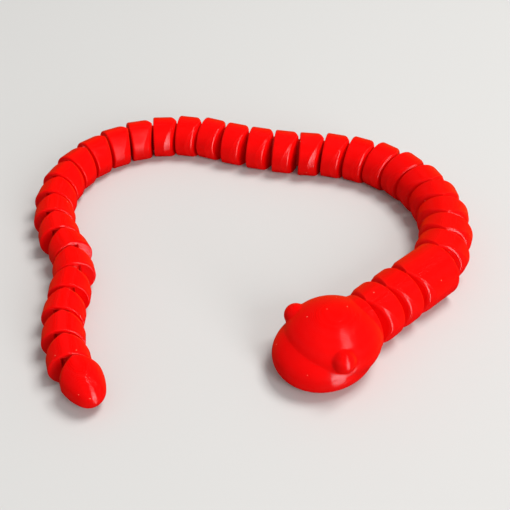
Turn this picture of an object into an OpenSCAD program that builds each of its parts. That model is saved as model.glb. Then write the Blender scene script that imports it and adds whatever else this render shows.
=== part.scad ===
// Articulated snake toy, printed in one go: a tail tip, 33 links and a head.
// Each piece is joined to the next by a hidden upright pivot, so the row bends sideways.
// Millimetres. X points right and Y away from the viewer, as the toy lies in the photograph.
// The belly lies on the plane z = 0, and the origin is under the hinge between links 16 and 17.

/* [Body] */
// Width of the body where it meets the head.
neck_d = 20; // [18:0.5:22]
// Width of the tail tip.
tail_d = 13.5; // [12.5:0.5:15]
// How much of the taper is near the tail. 1 is an even taper.
taper_power = 1.3; // [1:0.1:2]
// Part of each width that is cut off flat for the belly.
belly_share = 0.08; // [0.06:0.01:0.12]
// Rounding of the rim round each flat rear face.
rim_round = 0.6; // [0.3:0.1:1]
// Rounding along the edges of each V-shaped front.
vee_round = 1.7; // [1.5:0.1:2]

/* [Joints] */
// Distance from one hinge axis to the next.
pitch = 10; // [9.5:0.5:12]
// Length of the long link, third behind the head, between its two hinges.
long_pitch = 19; // [17:0.5:24]
// How far each hinge axis lies in front of its flat rear face.
hinge_depth = 3.4; // [3.2:0.1:3.8]
// Gap between the tip of each V and the next rear face.
tip_gap = 0.5; // [0.4:0.1:0.8]
// How far each joint can bend to either side, in degrees.
bend_limit = 20; // [19:1:22]
// Radius of the upright pivots.
pivot_r = 2.6; // [2.3:0.1:2.8]
// Free space all round each pivot.
pivot_clearance = 0.3; // [0.2:0.05:0.4]
// Thickness of the web between a link and its pivot.
web_t = 1.8; // [1.4:0.1:2]
// How far the top of the web lies below the top of its pivot.
web_drop = 0.6; // [0.5:0.1:1]
// Thickness of the roof over each socket.
roof_t = 1.4; // [1.2:0.1:1.6]
// Thickness of the floor under each socket.
floor_t = 1.2; // [0.8:0.1:1.6]

/* [Tail tip] */
// Length of the tail tip behind its hinge.
tail_l = 19; // [17:0.5:20]
// Distance from the tail tip's hinge back to where its sides start to curve in.
tail_straight = 7.5; // [7:0.5:8.5]
// Radius of the long curve of the tail tip's sides.
tail_curve_r = 18.5; // [17.5:0.5:20]

/* [Head] */
// Length of the round nape at the head's rear, which carries the flat rear face.
nape_l = 9; // [8:0.5:10]
// Width of the dome of the head.
dome_w = 30; // [29:0.2:31]
// Length of the dome, with the part that the rear face cuts off.
dome_l = 31.4; // [30:0.2:33]
// Height of the dome's top above the table.
dome_top = 20.2; // [19.6:0.1:21.5]
// Distance of the dome's middle in front of the head's hinge.
dome_at = 9; // [8.4:0.1:9.6]
// Height of the widest level of the dome above the table.
dome_level = 9.7; // [9:0.1:10.4]
// Width of the jaw.
jaw_w = 29.7; // [28.5:0.2:30.5]
// Length of the jaw, with the part hidden in the dome.
jaw_l = 34; // [33:0.2:36]
// Height of the jaw's top above the table.
jaw_top = 15.8; // [15:0.2:17]
// Distance of the jaw's middle in front of the head's hinge.
jaw_at = 12.1; // [11.2:0.1:13]
// Height of the widest level of the jaw above the table.
jaw_level = 6.2; // [5.4:0.1:7]
// Radius of the two round eyes.
eye_r = 3.8; // [3.5:0.1:4.2]
// Distance of the eyes' centres from the head's middle plane.
eye_out = 11.6; // [11:0.2:12.2]
// Distance of the eyes' centres in front of the head's hinge.
eye_at = 14.3; // [13.7:0.2:15.1]
// Height of the eyes' centres above the table.
eye_level = 12.9; // [12.3:0.1:13.5]

/* [Hidden] */
$fn = 64;
// Pieces from the tail: 0 is the tail tip, 1 to 33 are the links, 34 is the head.
head_k = 34;
// The long link's number.
long_k = 31;
// The link whose hinge stands over the origin.
root_k = 17;
// The way that the tail tip points along the body, in degrees from X.
tail_heading = 125;
// The bends in the photograph from the tail on: how many joints, then degrees each to the left.
bends = [
  [1, -16], [1, -10], [1, -9], [1, 3], [1, 15], [1, 13], [2, -12], [8, -13], [1, -12],
  [4, 4], [2, -10], [2, -15], [2, -14], [2, -13], [1, -10], [1, -19], [2, 1], [1, -9]
];
turns = [for (b = bends) for (i = [1 : b[0]]) b[1]];
headings = [for (k = 0, h = tail_heading; k <= head_k; h = h + (k < head_k ? turns[k] : 0), k = k + 1) h];
// Hinge positions from the first hinge, entry k - 1 for hinge k.
hinges = [
  for (k = 1, p = [0, 0]; k <= head_k; p = p + ahead(headings[k], spacing(k)), k = k + 1) p
];

// The hinge lies this far behind the tip of the V that carries it.
tip_back = hinge_depth + tip_gap;
// The slot's half width beside the pivot, wide enough for the turned web.
slot_half = web_t / 2 / cos(bend_limit) + pivot_clearance;
// The slot is cut a little past the rear face.
slot_l = hinge_depth + 1;
// The sharp tip of each V is cut off blunt by this much.
tip_cut = 0.12;
// How far the web reaches back into its own link.
web_root = 2;
// The rounded faces of a V are a little wider than the body and flare backwards by this angle.
cap_share = 1.06;
cap_flare = 35;
cap_back = 40;
// The flare starts this far inside the rounding, so that the two cross cleanly.
seam = 0.02;
// The dome and the jaw start this far in front of the rear face, inside the nape.
head_start = 1;
// Facets round the dome, the jaw and the eyes.
head_fn = 48;
body_red = [0.8, 0.04, 0.05];

function spacing(k) = k == long_k ? long_pitch : pitch;
function ahead(angle, l) = [l * cos(angle), l * sin(angle)];
function width(k) = tail_d + (neck_d - tail_d) * pow(k / head_k, taper_power);
function axis_level(d) = d * (0.5 - belly_share);
function top_level(d) = d * (1 - belly_share);

// Puts a piece made along X, with its rear hinge at the origin, into its place in the row.
module placed(k) {
  at = hinges[max(k, 1) - 1] - hinges[root_k - 1];
  translate([at[0], at[1], 0])
    rotate([0, 0, headings[k]])
      children();
}

// Round barrel lying along X from the flat rear face, with its rear rim rounded.
module barrel(d, l) {
  translate([-hinge_depth, 0, axis_level(d)])
    rotate([0, 90, 0])
      rotate_extrude()
        union() {
          square([d / 2 - rim_round, rim_round]);
          intersection() {
            translate([d / 2 - rim_round, rim_round])
              circle(rim_round);
            square([d, rim_round]);
          }
          translate([0, rim_round])
            square([d / 2, l - rim_round]);
        }
}

// Everything behind one face of the V, with a rounded edge.
module vee_face(d, tip, side) {
  flat_r = d / 2 * cap_share - vee_round;
  edge = [flat_r + vee_round * cos(cap_flare) - seam, vee_round * (1 - sin(cap_flare))];
  translate([tip, 0, axis_level(d)])
    rotate([0, 0, side * bend_limit])
      rotate([0, -90, 0])
        rotate_extrude()
          union() {
            square([flat_r, vee_round]);
            translate([flat_r, vee_round])
              circle(vee_round);
            polygon([
              [0, edge[1]],
              edge,
              edge + cap_back * [sin(cap_flare), cos(cap_flare)],
              [0, edge[1] + cap_back * cos(cap_flare)]
            ]);
          }
}

// Everything above the table.
module above_table() {
  translate([-50, -50, 0])
    cube([100, 100, 50]);
}

// Round socket with a floor and a roof, and the slot behind it for the web.
module socket(d) {
  h = top_level(d) - roof_t - floor_t;
  spread = slot_half + slot_l * tan(bend_limit);
  translate([0, 0, floor_t])
    cylinder(r = pivot_r + pivot_clearance, h = h);
  translate([0, 0, floor_t])
    linear_extrude(h)
      polygon([[0, slot_half], [-slot_l, spread], [-slot_l, -spread], [0, -slot_half]]);
}

// Upright pivot at distance at, with the web that carries it. d is the next piece's width.
module pivot(d, at) {
  low = floor_t + pivot_clearance;
  h = top_level(d) - roof_t - pivot_clearance - low;
  root = at - tip_back - web_root;
  translate([at, 0, low])
    cylinder(r = pivot_r, h = h);
  translate([root, -web_t / 2, low])
    cube([at - root, web_t, h - web_drop]);
}

// One link from its flat rear face to its V, with the socket inside and the pivot ahead.
module link(k) {
  d = width(k);
  tip = spacing(k) - tip_back;
  difference() {
    union() {
      intersection() {
        barrel(d, tip + hinge_depth - tip_cut);
        vee_face(d, tip, 1);
        vee_face(d, tip, -1);
        above_table();
      }
      pivot(width(k + 1), spacing(k));
    }
    socket(d);
  }
}

// Half of the tail tip's outline: a straight part, a long curve and a round nose.
module tail_profile(r) {
  sink = tail_curve_r - r;
  run = tail_l - tail_straight;
  nose_r = (pow(tail_curve_r, 2) - pow(sink, 2) - pow(run, 2)) / (2 * (tail_curve_r - run));
  meet = tail_curve_r * (run - nose_r) / (tail_curve_r - nose_r);
  square([r, tail_straight - tip_back - tip_cut]);
  intersection() {
    translate([-sink, 0])
      circle(tail_curve_r);
    translate([0, -meet])
      square([2 * r, meet]);
  }
  intersection() {
    translate([0, nose_r - run])
      circle(nose_r);
    translate([0, -2 * run])
      square([r, 2 * run]);
  }
}

// Tail tip with its hinge at the origin and its nose towards -X.
module tail_end() {
  union() {
    intersection() {
      translate([-tail_straight, 0, axis_level(tail_d)])
        rotate([0, 90, 0])
          rotate_extrude()
            tail_profile(tail_d / 2);
      vee_face(tail_d, -tip_back, 1);
      vee_face(tail_d, -tip_back, -1);
      above_table();
    }
    pivot(width(1), 0);
  }
}

// Egg shape of the given length, width and height above its widest level.
module egg(l, w, rise) {
  scale([l / 2, w / 2, rise])
    sphere(1, $fn = head_fn);
}

// Head from its flat rear face to the snout: a dome over a jaw, with a round eye on each side.
module head_end() {
  difference() {
    intersection() {
      union() {
        barrel(neck_d, nape_l);
        intersection() {
          union() {
            translate([dome_at, 0, dome_level])
              egg(dome_l, dome_w, dome_top - dome_level);
            translate([jaw_at, 0, jaw_level])
              egg(jaw_l, jaw_w, jaw_top - jaw_level);
            translate([eye_at, eye_out, eye_level])
              sphere(eye_r);
            translate([eye_at, -eye_out, eye_level])
              sphere(eye_r);
          }
          translate([head_start - hinge_depth, -50, -50])
            cube(100);
        }
      }
      above_table();
    }
    socket(neck_d);
  }
}

module tail_tip() {
  color(body_red)
    placed(0)
      tail_end();
}

module link_01() {
  color(body_red)
    placed(1)
      link(1);
}

module link_02() {
  color(body_red)
    placed(2)
      link(2);
}

module link_03() {
  color(body_red)
    placed(3)
      link(3);
}

module link_04() {
  color(body_red)
    placed(4)
      link(4);
}

module link_05() {
  color(body_red)
    placed(5)
      link(5);
}

module link_06() {
  color(body_red)
    placed(6)
      link(6);
}

module link_07() {
  color(body_red)
    placed(7)
      link(7);
}

module link_08() {
  color(body_red)
    placed(8)
      link(8);
}

module link_09() {
  color(body_red)
    placed(9)
      link(9);
}

module link_10() {
  color(body_red)
    placed(10)
      link(10);
}

module link_11() {
  color(body_red)
    placed(11)
      link(11);
}

module link_12() {
  color(body_red)
    placed(12)
      link(12);
}

module link_13() {
  color(body_red)
    placed(13)
      link(13);
}

module link_14() {
  color(body_red)
    placed(14)
      link(14);
}

module link_15() {
  color(body_red)
    placed(15)
      link(15);
}

module link_16() {
  color(body_red)
    placed(16)
      link(16);
}

module link_17() {
  color(body_red)
    placed(17)
      link(17);
}

module link_18() {
  color(body_red)
    placed(18)
      link(18);
}

module link_19() {
  color(body_red)
    placed(19)
      link(19);
}

module link_20() {
  color(body_red)
    placed(20)
      link(20);
}

module link_21() {
  color(body_red)
    placed(21)
      link(21);
}

module link_22() {
  color(body_red)
    placed(22)
      link(22);
}

module link_23() {
  color(body_red)
    placed(23)
      link(23);
}

module link_24() {
  color(body_red)
    placed(24)
      link(24);
}

module link_25() {
  color(body_red)
    placed(25)
      link(25);
}

module link_26() {
  color(body_red)
    placed(26)
      link(26);
}

module link_27() {
  color(body_red)
    placed(27)
      link(27);
}

module link_28() {
  color(body_red)
    placed(28)
      link(28);
}

module link_29() {
  color(body_red)
    placed(29)
      link(29);
}

module link_30() {
  color(body_red)
    placed(30)
      link(30);
}

module link_31() {
  color(body_red)
    placed(31)
      link(31);
}

module link_32() {
  color(body_red)
    placed(32)
      link(32);
}

module link_33() {
  color(body_red)
    placed(33)
      link(33);
}

module head() {
  color(body_red)
    placed(head_k)
      head_end();
}

tail_tip();
link_01();
link_02();
link_03();
link_04();
link_05();
link_06();
link_07();
link_08();
link_09();
link_10();
link_11();
link_12();
link_13();
link_14();
link_15();
link_16();
link_17();
link_18();
link_19();
link_20();
link_21();
link_22();
link_23();
link_24();
link_25();
link_26();
link_27();
link_28();
link_29();
link_30();
link_31();
link_32();
link_33();
head();
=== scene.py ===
# %% [markdown]
# # A printed snake, dressed for its portrait
#
# The toy is a row of 35 plastic pieces that came off a printer already joined: a blunt tail tip,
# 33 short links and a rounded head. The solids come from the CAD frame in their final shape, so
# little modelling is left. This lesson wraps the head in a softer skin, then shows what silky red
# filament looks like and how to light it.

# %% Load the frame
import bpy
import math
from mathutils import Matrix, Vector


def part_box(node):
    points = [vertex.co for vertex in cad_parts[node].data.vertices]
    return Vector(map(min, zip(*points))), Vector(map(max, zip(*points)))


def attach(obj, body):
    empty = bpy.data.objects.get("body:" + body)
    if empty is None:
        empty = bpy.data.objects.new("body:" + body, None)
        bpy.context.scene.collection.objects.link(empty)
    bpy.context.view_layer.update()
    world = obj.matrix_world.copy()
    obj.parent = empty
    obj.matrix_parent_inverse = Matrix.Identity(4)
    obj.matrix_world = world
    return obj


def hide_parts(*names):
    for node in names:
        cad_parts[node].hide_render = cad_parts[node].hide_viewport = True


MM = 0.001

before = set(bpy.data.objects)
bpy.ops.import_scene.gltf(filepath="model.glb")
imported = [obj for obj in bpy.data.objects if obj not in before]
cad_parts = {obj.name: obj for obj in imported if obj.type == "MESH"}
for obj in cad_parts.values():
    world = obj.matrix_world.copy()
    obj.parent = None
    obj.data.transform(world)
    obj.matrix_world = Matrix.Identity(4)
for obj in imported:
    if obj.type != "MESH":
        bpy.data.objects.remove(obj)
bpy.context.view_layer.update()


# %% [markdown]
# ## The camera
#
# The photograph was taken from in front of the toy, looking down by about 42 degrees. A camera can
# be set by eye, but here every hinge of the row was matched to its place in the photograph, which
# gives the place, the angle and the focal length together.

# %% Camera
# Angles in degrees, the focal length in pixels of the photograph, the near and far limits in metres.
CAMERA_AT = (18.1 * MM, -296.1 * MM, 208.5 * MM)
LOOK_DOWN = 41.74
TURN = -0.29
ROLL = 2.24
FOCAL_PX = 874.5
FRAME_PX = 510
SENSOR_MM = 36.0
NEAREST = 0.01
FARTHEST = 10


def add_camera():
    """Sets the camera where the photograph was taken from."""
    data = bpy.data.cameras.new("photo_camera")
    data.sensor_width = SENSOR_MM
    data.sensor_fit = "HORIZONTAL"
    data.lens = FOCAL_PX / FRAME_PX * SENSOR_MM
    data.clip_start = NEAREST
    data.clip_end = FARTHEST
    cam = bpy.data.objects.new("photo_camera", data)
    bpy.context.scene.collection.objects.link(cam)
    turn = Matrix.Rotation(math.radians(TURN), 4, "Z")
    tilt = Matrix.Rotation(math.radians(90 - LOOK_DOWN), 4, "X")
    roll = Matrix.Rotation(math.radians(ROLL), 4, "Z")
    cam.matrix_world = Matrix.Translation(CAMERA_AT) @ turn @ tilt @ roll
    bpy.context.scene.camera = cam
    return cam


camera = add_camera()
print("camera lens in mm:", round(camera.data.lens, 1))


# %% [markdown]
# ## The head, first as lumps
#
# The solid of the head is made of plain eggs and balls that meet in sharp creases. On the real toy
# they run into each other softly, and the eyes are low swellings. That could be sculpted by hand. A
# surer way is to put the same forms together, skin them and soften the skin. So the head starts as
# separate lumps: a low dome, a longer jaw under it, two eyes, and a round nape towards the neck.
# They are laid out along X with the hinge at zero, and the finished head is turned into its place.

# %% Head lumps
# Millimetres from the hinge: the middle and the half lengths of each egg, then the nape's start,
# end, radius and level, then the middle and the radius of the left eye.
DOME = ((9.0, 0, 9.7), (15.7, 15.1, 10.6))
JAW = ((12.1, 0, 6.2), (17.1, 14.9, 9.7))
NAPE = (-6.0, 5.6, 10.0, 8.4)
EYE_AT = (14.8, 11.6, 13.1)
EYE_R = 3.75
EGG_SEGMENTS = 64
EGG_RINGS = 32
DRUM_SEGMENTS = 96


def add_egg(at, half):
    """A closed egg, its middle and its half lengths in millimetres."""
    bpy.ops.object.select_all(action="DESELECT")
    bpy.ops.mesh.primitive_uv_sphere_add(segments=EGG_SEGMENTS, ring_count=EGG_RINGS, radius=1)
    egg = bpy.context.object
    egg.scale = [h * MM for h in half]
    egg.location = [p * MM for p in at]
    bpy.ops.object.transform_apply(location=True, rotation=True, scale=True)
    return egg


def add_drum(start, end, radius, level):
    """A drum lying along X, between two distances from the hinge, in millimetres."""
    bpy.ops.object.select_all(action="DESELECT")
    bpy.ops.mesh.primitive_cylinder_add(vertices=DRUM_SEGMENTS, radius=radius * MM,
                                        depth=(end - start) * MM,
                                        location=((start + end) / 2 * MM, 0, level * MM),
                                        rotation=(0, math.pi / 2, 0))
    drum = bpy.context.object
    bpy.ops.object.transform_apply(location=True, rotation=True, scale=True)
    return drum


def join(pieces, name):
    """Makes one object of several."""
    bpy.ops.object.select_all(action="DESELECT")
    for piece in pieces:
        piece.select_set(True)
    bpy.context.view_layer.objects.active = pieces[0]
    bpy.ops.object.join()
    joined = bpy.context.object
    joined.name = name
    return joined


dome = add_egg(*DOME)
jaw = add_egg(*JAW)
nape = add_drum(*NAPE)
eyes = [add_egg((EYE_AT[0], side * EYE_AT[1], EYE_AT[2]), (EYE_R, EYE_R, EYE_R)) for side in (1, -1)]
head = join([dome, jaw, nape, *eyes], "head_skin")
print("lumps joined, points:", len(head.data.vertices))


# %% [markdown]
# ## One skin over all the lumps
#
# The printer saw one closed form, so the lumps become one surface. A Boolean union would keep every
# crease sharp. The Remesh modifier wraps all of them in a skin of small even squares instead, and a
# light Smooth fills each crease with a soft hollow. Between two remeshes the skin is cut off flat at
# the rear face and at the belly.

# %% Skin the lumps
# The squares of the skin, and two corners of the space in which it's kept, in metres.
SKIN = 0.3 * MM
REAR = -3.4 * MM
KEPT_LOW = (REAR, -0.05, 0)
KEPT_HIGH = (0.06, 0.05, 0.06)
SOFTNESS = 0.5
SKIN_ROUNDS = 3


def use_modifier(piece, kind, **settings):
    """Adds a modifier, gives it its settings and applies it."""
    bpy.ops.object.select_all(action="DESELECT")
    piece.select_set(True)
    bpy.context.view_layer.objects.active = piece
    mod = piece.modifiers.new(kind.lower(), kind)
    for key, value in settings.items():
        setattr(mod, key, value)
    bpy.ops.object.modifier_apply(modifier=mod.name)
    return len(piece.data.polygons)


def add_block(low, high):
    """A plain block between two corners, in metres, used only to cut with."""
    bpy.ops.object.select_all(action="DESELECT")
    size = [b - a for a, b in zip(low, high)]
    middle = [(a + b) / 2 for a, b in zip(low, high)]
    bpy.ops.mesh.primitive_cube_add(size=1, location=middle)
    block = bpy.context.object
    block.scale = size
    bpy.ops.object.transform_apply(location=True, rotation=True, scale=True)
    return block


def combine(piece, tool, operation):
    """Cuts a piece with a tool, or adds the tool to it, and throws the tool away."""
    faces = use_modifier(piece, "BOOLEAN", object=tool, operation=operation, solver="EXACT")
    bpy.data.objects.remove(tool, do_unlink=True)
    return faces


use_modifier(head, "REMESH", mode="VOXEL", voxel_size=SKIN)
combine(head, add_block(KEPT_LOW, KEPT_HIGH), "INTERSECT")
use_modifier(head, "REMESH", mode="VOXEL", voxel_size=SKIN)
faces = use_modifier(head, "SMOOTH", factor=SOFTNESS, iterations=SKIN_ROUNDS)
print("skinned head, faces:", faces)


# %% [markdown]
# ## Soft brows
#
# On the real head each eye melts into the dome above it and ends in a crisp fold below. Smoothing
# the whole eye would lose that fold. A vertex group limits the Smooth modifier to the upper part of
# each eye, and its weights fade out over two millimetres, so that no edge shows where it stops.

# %% Soften the brows
# Millimetres from the middle of an eye: how far the softening reaches, the level where it starts,
# and the height over which it grows to its full strength.
BROW_REACH = 5.0
FADE_FROM = -0.5
FADE_OVER = 2.0
BROW_ROUNDS = 18


def soften_brows(piece):
    """Lets the upper part of each eye run into the dome, and keeps the crisp fold below it."""
    brow = piece.vertex_groups.new(name="brow")
    for side in (1, -1):
        middle = Vector((EYE_AT[0], side * EYE_AT[1], EYE_AT[2])) * MM
        for v in piece.data.vertices:
            away = v.co - middle
            fade = min(1.0, max(0.0, (away.z / MM - FADE_FROM) / FADE_OVER))
            if away.length < BROW_REACH * MM and fade > 0:
                brow.add([v.index], fade, "REPLACE")
    return use_modifier(piece, "SMOOTH", factor=SOFTNESS, iterations=BROW_ROUNDS, vertex_group="brow")


print("brows softened, faces:", soften_brows(head))


# %% [markdown]
# ## The socket, and the head in its place
#
# The last link's pivot turns inside the head, so the skin needs the same hollow as the solid: a
# round socket between a roof and a floor, and behind it a slot that widens to the rear, where the
# pivot's web swings. The hollow could be modelled wall by wall. A Boolean with a tool of its shape
# is quicker and stays exact. The skin then takes the solid's place and moves with the head's body.

# %% Socket tool
# Millimetres: the levels of the floor and the roof, the socket's radius, the slot's length, and
# half its width at the hinge and at its rear end.
SOCKET_FLOOR = 1.2
SOCKET_ROOF = 17.0
SOCKET_R = 2.9
SLOT_L = 4.4
SLOT_NEAR = 1.26
SLOT_FAR = 2.86
SOCKET_SEGMENTS = 64


def add_socket_tool():
    """The shape of the hollow under the head's roof: a round socket and the wedge behind it."""
    bpy.ops.object.select_all(action="DESELECT")
    bpy.ops.mesh.primitive_cylinder_add(vertices=SOCKET_SEGMENTS, radius=SOCKET_R * MM,
                                        depth=SOCKET_ROOF * MM - SOCKET_FLOOR * MM,
                                        location=(0, 0, (SOCKET_FLOOR * MM + SOCKET_ROOF * MM) / 2))
    well = bpy.context.object
    bpy.ops.object.transform_apply(location=True, rotation=True, scale=True)
    slot = add_block((-SLOT_L * MM, -SLOT_NEAR * MM, SOCKET_FLOOR * MM),
                     (0, SLOT_NEAR * MM, SOCKET_ROOF * MM))
    bpy.ops.object.mode_set(mode="EDIT")
    bpy.ops.mesh.select_all(action="DESELECT")
    bpy.ops.object.mode_set(mode="OBJECT")
    for v in slot.data.vertices:
        v.select = v.co.x < -SLOT_L / 2 * MM
    bpy.ops.object.mode_set(mode="EDIT")
    bpy.ops.transform.resize(value=(1, SLOT_FAR / SLOT_NEAR, 1))
    bpy.ops.object.mode_set(mode="OBJECT")
    combine(well, slot, "UNION")
    return well


faces = combine(head, add_socket_tool(), "DIFFERENCE")
print("socket cut, faces:", faces)


# %% Put the head in its place
# Degrees from the X axis, the head's hinge in the row, and the angle from which an edge stays sharp.
HEAD_TURN = -143.0
HEAD_HINGE = (51.315 * MM, -104.787 * MM, 0.0)
SHARP_FROM = 40


def put_in_place(piece, turn, at):
    """Turns a piece about the hinge and moves it to its place, then writes both into its mesh."""
    bpy.ops.object.select_all(action="DESELECT")
    piece.select_set(True)
    bpy.context.view_layer.objects.active = piece
    piece.rotation_euler = (0, 0, math.radians(turn))
    piece.location = at
    bpy.ops.object.transform_apply(location=True, rotation=True, scale=True)
    bpy.ops.object.shade_smooth_by_angle(angle=math.radians(SHARP_FROM))


put_in_place(head, HEAD_TURN, HEAD_HINGE)
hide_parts("head")
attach(head, "head")
low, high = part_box("head")
print("head box:", [round(v / MM, 1) for v in low], [round(v / MM, 1) for v in high])
print("skin box:", [round(min(v.co[i] for v in head.data.vertices) / MM, 1) for i in range(3)],
      [round(max(v.co[i] for v in head.data.vertices) / MM, 1) for i in range(3)])


# %% [markdown]
# ## The floor
#
# A product stands best on a plain pale floor that keeps its shadow. A bright floor has a price: red
# plastic mirrors it, and light that bounces off it turns the shaded sides pink. The Light Path node
# tells which kind of ray is asking, so the floor can be pale to the camera and darker to the toy.
# Further out it fades into an even backdrop, so that a low view shows no horizon.

# %% Node helpers
def new_material(name):
    """An empty material with one Principled shader, ready for its own nodes."""
    mat = bpy.data.materials.new(name)
    mat.use_nodes = True
    return mat, mat.node_tree, mat.node_tree.nodes["Principled BSDF"]


def math_node(tree, operation, a, b=None):
    """Adds one Math node; a and b are sockets or numbers. Returns its output."""
    node = tree.nodes.new("ShaderNodeMath")
    node.operation = operation
    for i, v in enumerate([a] if b is None else [a, b]):
        if isinstance(v, (int, float)):
            node.inputs[i].default_value = v
        else:
            tree.links.new(v, node.inputs[i])
    return node.outputs[0]


def blend(tree, factor, a, b):
    """Mixes two colours, each a socket or four numbers. Returns the mixed colour's socket."""
    mix = tree.nodes.new("ShaderNodeMix")
    mix.data_type = "RGBA"
    tree.links.new(factor, mix.inputs["Factor"])
    for label, value in (("A", a), ("B", b)):
        if isinstance(value, tuple):
            mix.inputs[label].default_value = value
        else:
            tree.links.new(value, mix.inputs[label])
    return mix.outputs["Result"]


print("helpers for nodes: new_material, math_node, blend")


# %% Floor
# The backdrop's colour, then the floor's to the camera, in reflections and for light that bounces
# off it. The fade and the width are in metres.
BACKDROP = (0.73, 0.716, 0.694, 1)
FLOOR_SEEN = (0.62, 0.61, 0.59, 1)
FLOOR_MIRRORED = (0.04, 0.03, 0.02, 1)
FLOOR_BOUNCED = (0.42, 0.38, 0.34, 1)
FADE_START = 0.25
FADE_END = 0.60
FLOOR_SIZE = 6.0


def distance_fade(tree):
    """Nothing near the toy, rising to one where the floor has become the backdrop."""
    coord = tree.nodes.new("ShaderNodeTexCoord")
    away = tree.nodes.new("ShaderNodeVectorMath")
    away.operation = "LENGTH"
    tree.links.new(coord.outputs["Object"], away.inputs[0])
    far = tree.nodes.new("ShaderNodeMapRange")
    far.interpolation_type = "SMOOTHSTEP"
    far.inputs["From Min"].default_value = FADE_START
    far.inputs["From Max"].default_value = FADE_END
    tree.links.new(away.outputs["Value"], far.inputs["Value"])
    return far.outputs["Result"]


def floor_material():
    """Pale to the camera, darker to the plastic, and an even backdrop further out."""
    mat, tree, shader = new_material("pale_floor")
    path = tree.nodes.new("ShaderNodeLightPath")
    colour = FLOOR_BOUNCED
    for ray, seen in (("Is Glossy Ray", FLOOR_MIRRORED), ("Is Camera Ray", FLOOR_SEEN)):
        colour = blend(tree, path.outputs[ray], colour, seen)
    tree.links.new(colour, shader.inputs["Base Color"])
    shader.inputs["Roughness"].default_value = 0.7
    shader.inputs["Specular IOR Level"].default_value = 0.2
    even = tree.nodes.new("ShaderNodeEmission")
    even.inputs["Color"].default_value = BACKDROP
    mix = tree.nodes.new("ShaderNodeMixShader")
    shown = math_node(tree, "MULTIPLY", distance_fade(tree), path.outputs["Is Camera Ray"])
    tree.links.new(shown, mix.inputs[0])
    tree.links.new(shader.outputs[0], mix.inputs[1])
    tree.links.new(even.outputs[0], mix.inputs[2])
    tree.links.new(mix.outputs[0], tree.nodes["Material Output"].inputs["Surface"])
    return mat


def add_floor():
    """A wide plain floor at the level of the bellies."""
    bpy.ops.object.select_all(action="DESELECT")
    bpy.ops.mesh.primitive_plane_add(size=FLOOR_SIZE, location=(0, 0, 0))
    floor = bpy.context.object
    floor.name = "floor"
    floor.data.materials.append(floor_material())
    return floor


print("floor:", add_floor().name, FLOOR_SIZE, "m wide")


# %% [markdown]
# ## The light
#
# The real toy is lit by one tall bright shape, in front and to the right, as a window is, which
# leaves upright marks on the plastic. All else is dim, which keeps the red deep. An image of a real
# room would bring its own reflections. Two soft lamps do it more simply: a tall one takes the
# window's place, and a wide one overhead fills the shade. The overhead lamp and the faint light from
# all round are kept out of the reflections, so that the window's marks stand alone.

# %% Lamps
# The strength of the faint light from all round.
ROOM_LIGHT = 0.42


def add_area(name, way, height, distance, size, power, colour=(1, 1, 1), shows=True):
    """A rectangular soft lamp that faces the toy, in degrees, metres and watts."""
    data = bpy.data.lights.new(name, "AREA")
    data.shape = "RECTANGLE"
    data.size, data.size_y = size
    data.energy = power
    data.color = colour
    lamp = bpy.data.objects.new(name, data)
    flat = math.cos(math.radians(height))
    aim = Vector((flat * math.cos(math.radians(way)), flat * math.sin(math.radians(way)),
                  math.sin(math.radians(height))))
    lamp.location = aim * distance
    lamp.rotation_euler = aim.to_track_quat("Z", "Y").to_euler()
    lamp.visible_glossy = shows
    bpy.context.scene.collection.objects.link(lamp)
    return lamp


def set_world(light):
    """Even light from all round, which shows in no reflection; the camera sees the backdrop."""
    world = bpy.data.worlds.new("soft_room")
    world.use_nodes = True
    tree = world.node_tree
    path = tree.nodes.new("ShaderNodeLightPath")
    colour = blend(tree, path.outputs["Is Camera Ray"], (light, light, light, 1), BACKDROP)
    tree.links.new(colour, tree.nodes["Background"].inputs["Color"])
    world.cycles_visibility.glossy = False
    bpy.context.scene.world = world


window = add_area("window", way=-52, height=22, distance=1.2, size=(0.4, 0.9), power=8,
                  colour=(0.95, 0.97, 1.0))
overhead = add_area("overhead", way=25, height=66, distance=1.4, size=(0.6, 0.6), power=15,
                    shows=False)
set_world(ROOM_LIGHT)
print("lamps:", window.name, overhead.name)


# %% [markdown]
# ## Printed layers
#
# The toy was printed in thin layers, taken here as a fifth of a millimetre high. Each layer is a
# rounded bead, so the surface is a stack of tiny ridges that stretch every highlight up and down. A
# Bump node loses ridges that are finer than a pixel, so the surface's own direction is tilted.
# Seen from above, the lower half of each bead hides under its own bulge, so the tilt runs from none
# at the bottom of a bead to its full amount, upwards, at the top. Where the surface is nearly level,
# as on the dome, the beads turn into steps, and the wall of each step leans outwards.

# %% Group helpers
def vector_node(tree, operation, a, b=None, scale=None):
    """Adds one Vector Math node; a and b are sockets. Returns its vector output."""
    node = tree.nodes.new("ShaderNodeVectorMath")
    node.operation = operation
    tree.links.new(a, node.inputs[0])
    if b is not None:
        tree.links.new(b, node.inputs[1])
    if scale is not None:
        tree.links.new(scale, node.inputs["Scale"])
    return node.outputs["Vector"]


def new_group(name, takes, gives):
    """An empty node group with number inputs, and outputs that are numbers or vectors."""
    g = bpy.data.node_groups.new(name, "ShaderNodeTree")
    for label in takes:
        g.interface.new_socket(label, in_out="INPUT", socket_type="NodeSocketFloat")
    for label, kind in gives.items():
        g.interface.new_socket(label, in_out="OUTPUT", socket_type="NodeSocket" + kind)
    return g, g.nodes.new("NodeGroupInput"), g.nodes.new("NodeGroupOutput")


print("helpers for groups: vector_node, new_group")


# %% Layer line group
# The share of each layer's height that is the wall of its step, and how fast the lean grows with
# the slope.
WALL_SHARE = 0.4
STEEP_RATE = 3.0


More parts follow.
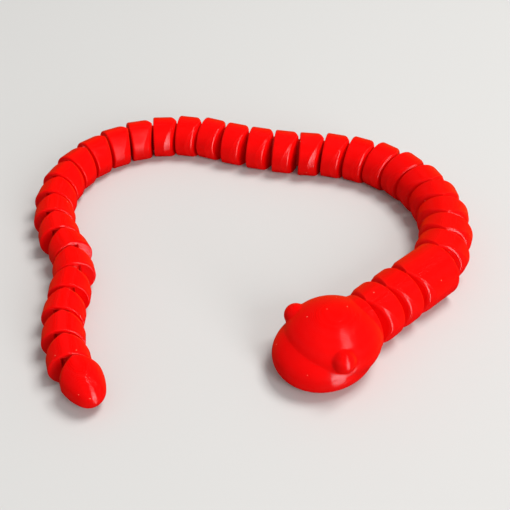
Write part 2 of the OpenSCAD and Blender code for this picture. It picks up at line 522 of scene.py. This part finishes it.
def bead_rise(g, within, tilt):
    """An upward vector that grows from the bottom of each bead to its top."""
    curve = math_node(g, "COSINE", math_node(g, "MULTIPLY", within, math.pi))
    rise = math_node(g, "MULTIPLY", math_node(g, "SUBTRACT", 1.0, curve), tilt)
    up = g.nodes.new("ShaderNodeCombineXYZ")
    g.links.new(rise, up.inputs["Z"])
    return up.outputs[0]


def step_lean(g, face, within, lean):
    """An outward vector on the wall of each step. Upright walls and the very top get none."""
    parts = g.nodes.new("ShaderNodeSeparateXYZ")
    g.links.new(face, parts.inputs[0])
    level = g.nodes.new("ShaderNodeCombineXYZ")
    g.links.new(parts.outputs["X"], level.inputs["X"])
    g.links.new(parts.outputs["Y"], level.inputs["Y"])
    outward = vector_node(g, "NORMALIZE", level.outputs[0])
    slope = g.nodes.new("ShaderNodeVectorMath")
    slope.operation = "LENGTH"
    g.links.new(level.outputs[0], slope.inputs[0])
    climb = math_node(g, "MULTIPLY", within, 1 / WALL_SHARE)
    wall = math_node(g, "MAXIMUM", math_node(g, "SUBTRACT", 1.0, climb), 0.0)
    steep = math_node(g, "MULTIPLY", slope.outputs["Value"], STEEP_RATE)
    steep = math_node(g, "MINIMUM", steep, 1.0)
    upper = math_node(g, "MAXIMUM", parts.outputs["Z"], 0.0)
    upper = math_node(g, "MULTIPLY", math_node(g, "MULTIPLY", steep, steep), upper)
    push = math_node(g, "MULTIPLY", math_node(g, "MULTIPLY", wall, lean), upper)
    return vector_node(g, "SCALE", outward, scale=push)


def layer_group():
    """Surface direction over the printed beads, and a faint change from layer to layer."""
    g, into, out = new_group("printed_layers", ("Layer", "Tilt", "Lean"),
                             {"Normal": "Vector", "Tone": "Float"})
    coord = g.nodes.new("ShaderNodeTexCoord")
    split = g.nodes.new("ShaderNodeSeparateXYZ")
    g.links.new(coord.outputs["Object"], split.inputs[0])
    count = math_node(g, "DIVIDE", split.outputs["Z"], into.outputs["Layer"])
    within = math_node(g, "FRACT", count)
    face = g.nodes.new("ShaderNodeNewGeometry").outputs["Normal"]
    rise = bead_rise(g, within, into.outputs["Tilt"])
    lean = step_lean(g, face, within, into.outputs["Lean"])
    total = vector_node(g, "ADD", vector_node(g, "ADD", face, rise), lean)
    g.links.new(vector_node(g, "NORMALIZE", total), out.inputs["Normal"])
    chance = g.nodes.new("ShaderNodeTexWhiteNoise")
    chance.noise_dimensions = "1D"
    g.links.new(math_node(g, "FLOOR", count), chance.inputs["W"])
    g.links.new(chance.outputs["Value"], out.inputs["Tone"])
    return g


layers = layer_group()
print("group:", layers.name, "nodes:", len(layers.nodes))


# %% [markdown]
# ## Pale rims, part wear and part painted highlight, and pale specks
#
# The rims of the real links look a little paler, partly from wear where each one rubs on its
# neighbour and partly from light catching their rounded edges, so the pale rims here are part wear
# and part painted highlight. A few pale specks sit on the plastic: dust, and tiny blobs that the
# nozzle left. Both could be painted on an image, but then each of the 35 pieces would have to be
# unwrapped. Masks made of nodes cover them all: the Bevel node finds the rims, because it turns the
# surface's direction only near an edge, and a Voronoi texture scatters points, of which one in four
# becomes a speck.

# %% Rim and speck groups
# How often the Bevel node looks round, the fineness of the patches along the rims, and the share
# of the points that stay bare.
BEVEL_SAMPLES = 4
PATCH_SCALE = 400
BARE_SHARE = 0.75


def rim_group():
    """A mask along the rims, painted paler: partly wear from rubbing, partly a painted highlight."""
    g, into, out = new_group("rims_worn_and_highlighted", ("Width", "Strength"), {"Mask": "Float"})
    soft = g.nodes.new("ShaderNodeBevel")
    soft.samples = BEVEL_SAMPLES
    g.links.new(into.outputs["Width"], soft.inputs["Radius"])
    face = g.nodes.new("ShaderNodeNewGeometry").outputs["Normal"]
    dot = g.nodes.new("ShaderNodeVectorMath")
    dot.operation = "DOT_PRODUCT"
    g.links.new(soft.outputs["Normal"], dot.inputs[0])
    g.links.new(face, dot.inputs[1])
    bend = math_node(g, "SUBTRACT", 1.0, dot.outputs["Value"])
    coord = g.nodes.new("ShaderNodeTexCoord")
    patchy = g.nodes.new("ShaderNodeTexNoise")
    patchy.inputs["Scale"].default_value = PATCH_SCALE
    g.links.new(coord.outputs["Object"], patchy.inputs["Vector"])
    strong = math_node(g, "MULTIPLY", bend, into.outputs["Strength"])
    mask = math_node(g, "MULTIPLY", strong, patchy.outputs["Fac"])
    g.links.new(math_node(g, "MINIMUM", mask, 1.0), out.inputs["Mask"])
    return g


def speck_group():
    """A mask of a few tiny pale specks: dust, and blobs that the nozzle left."""
    g, into, out = new_group("pale_specks", ("Spacing", "Size"), {"Mask": "Float"})
    coord = g.nodes.new("ShaderNodeTexCoord")
    cells = g.nodes.new("ShaderNodeTexVoronoi")
    g.links.new(coord.outputs["Object"], cells.inputs["Vector"])
    g.links.new(math_node(g, "DIVIDE", 1.0, into.outputs["Spacing"]), cells.inputs["Scale"])
    apart = math_node(g, "MULTIPLY", cells.outputs["Distance"], into.outputs["Spacing"])
    near = math_node(g, "LESS_THAN", apart, into.outputs["Size"])
    split = g.nodes.new("ShaderNodeSeparateColor")
    g.links.new(cells.outputs["Color"], split.inputs[0])
    few = math_node(g, "GREATER_THAN", split.outputs[0], BARE_SHARE)
    g.links.new(math_node(g, "MULTIPLY", near, few), out.inputs["Mask"])
    return g


rims = rim_group()
specks = speck_group()
print("groups:", rims.name, specks.name)


# %% [markdown]
# ## Silky red plastic
#
# Silky filament leaves the printer glossy, and its colour isn't quite even: it drifts between two
# close reds. The rims are painted paler and are duller, partly as wear and partly as a painted
# highlight. On upward faces seen side on the red is painted towards orange, a painted sheen that
# stands in for the reflection of warm light from above. One plain red would look like paint. So the
# colour is built up in steps, with the layer lines in the surface's direction, a gloss that changes a
# little from layer to layer, and a small amount of light that passes under the surface, as it does in
# real plastic.

# %% Colour of the filament
# The reds: two that drift, a pale one painted on the rims as wear and highlight, and an orange one
# painted as a sheen. Then the fineness of the drift between the first two, how late the painted sheen
# sets in and how far up a surface has to face to show all of it, and the specks' distances and radius.
RED = (0.93, 0.0022, 0.0020, 1)
RED_DEEP = (0.86, 0.0016, 0.0016, 1)
# Pale red painted on the rims: partly wear, partly a painted highlight.
RED_RIM_WEAR_AND_HIGHLIGHT = (0.98, 0.03, 0.022, 1)
# Orange painted on upward faces seen side on: a painted sheen that stands in for a warm reflection.
RED_PAINTED_SHEEN = (1.0, 0.075, 0.008, 1)
SPECK = (1.0, 0.40, 0.28, 1)
DRIFT_SCALE = 60
DRIFT_DETAIL = 3
SHEEN_POWER = 4.0
SHEEN_FULL = 0.6
SPECK_SPACING = 3.0 * MM
SPECK_SIZE = 0.14 * MM


def use_group(tree, group, **numbers):
    """Puts a node group into a material and sets its numbers."""
    node = tree.nodes.new("ShaderNodeGroup")
    node.node_tree = group
    for label, value in numbers.items():
        node.inputs[label].default_value = value
    return node


def painted_sheen_mask(tree):
    """Painted sheen: rises where an upward-facing surface is seen side on, to paint it orange."""
    side_on = tree.nodes.new("ShaderNodeLayerWeight")
    face = tree.nodes.new("ShaderNodeNewGeometry")
    split = tree.nodes.new("ShaderNodeSeparateXYZ")
    tree.links.new(face.outputs["Normal"], split.inputs[0])
    upper = tree.nodes.new("ShaderNodeMapRange")
    upper.inputs["From Max"].default_value = SHEEN_FULL
    tree.links.new(split.outputs["Z"], upper.inputs["Value"])
    late = math_node(tree, "POWER", side_on.outputs["Facing"], SHEEN_POWER)
    return math_node(tree, "MULTIPLY", upper.outputs["Result"], late)


def filament_colour(tree, rim_wear_and_highlight):
    """Two drifting reds, rims painted pale as wear and highlight, the painted orange sheen, the specks.
    Returns the colour's socket.
    """
    coord = tree.nodes.new("ShaderNodeTexCoord")
    drift = tree.nodes.new("ShaderNodeTexNoise")
    drift.inputs["Scale"].default_value = DRIFT_SCALE
    drift.inputs["Detail"].default_value = DRIFT_DETAIL
    tree.links.new(coord.outputs["Object"], drift.inputs["Vector"])
    colour = blend(tree, drift.outputs["Fac"], RED_DEEP, RED)
    # The rims are painted paler: partly wear, partly a painted highlight along their edges.
    colour = blend(tree, rim_wear_and_highlight, colour, RED_RIM_WEAR_AND_HIGHLIGHT)
    # Painted sheen: upward faces seen side on are painted orange, a painted reflection of warm light.
    colour = blend(tree, painted_sheen_mask(tree), colour, RED_PAINTED_SHEEN)
    dust = use_group(tree, specks, Spacing=SPECK_SPACING, Size=SPECK_SIZE)
    return blend(tree, dust.outputs["Mask"], colour, SPECK)


print("filament reds:", RED_DEEP[:3], "to", RED[:3])


# %% Red plastic
# The layers' height, tilt and lean, the width and strength of the rims, the roughness of the
# glossiest and the dullest layer, and what wear adds to it.
LAYER_HEIGHT = 0.2 * MM
BEAD_TILT = 0.26
STEP_LEAN = 0.9
RIM_WIDTH = 0.35 * MM
RIM_STRENGTH = 6.0
GLOSSIEST = 0.10
DULLEST = 0.20
WORN_DULL = 0.3


def silky_red():
    """Glossy red filament: printed beads, drifting colour, rims painted pale as wear and highlight,
    painted orange sheen, specks, uneven gloss.
    """
    mat, tree, shader = new_material("silky_red")
    lines = use_group(tree, layers, Layer=LAYER_HEIGHT, Tilt=BEAD_TILT, Lean=STEP_LEAN)
    tree.links.new(lines.outputs["Normal"], shader.inputs["Normal"])
    # The rim mask paints wear and a painted highlight; it also dulls the gloss.
    rim_wear_and_highlight = use_group(tree, rims, Width=RIM_WIDTH, Strength=RIM_STRENGTH).outputs["Mask"]
    tree.links.new(filament_colour(tree, rim_wear_and_highlight), shader.inputs["Base Color"])
    gloss = tree.nodes.new("ShaderNodeMapRange")
    gloss.inputs["To Min"].default_value = GLOSSIEST
    gloss.inputs["To Max"].default_value = DULLEST
    tree.links.new(lines.outputs["Tone"], gloss.inputs["Value"])
    rough = math_node(tree, "ADD", gloss.outputs["Result"], math_node(tree, "MULTIPLY", rim_wear_and_highlight, WORN_DULL))
    tree.links.new(rough, shader.inputs["Roughness"])
    shader.inputs["Specular IOR Level"].default_value = 0.42
    shader.inputs["Subsurface Weight"].default_value = 0.2
    shader.inputs["Subsurface Radius"].default_value = (1.0, 0.08, 0.05)
    shader.inputs["Subsurface Scale"].default_value = 1.0 * MM
    return mat


red = silky_red()
print("material:", red.name, "nodes:", len(red.node_tree.nodes))


# %% [markdown]
# ## Dressing the pieces
#
# All 35 pieces have one colour and came off the printer together, so one material serves them all.
# Its patterns read Object coordinates. Every piece has its object at the origin and its place in its
# mesh, so the layers of neighbours line up, as they do on the real toy.

# %% Dress the pieces
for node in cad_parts.values():
    for slot in node.material_slots:
        slot.material = red
head.data.materials.clear()
head.data.materials.append(red)
print("dressed:", len(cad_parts), "nodes and the head's skin")


# %% [markdown]
# ## Finish
#
# The view transform is set to Standard, so that a colour renders as it is written.

# %% Finish
bpy.context.scene.view_settings.view_transform = "Standard"
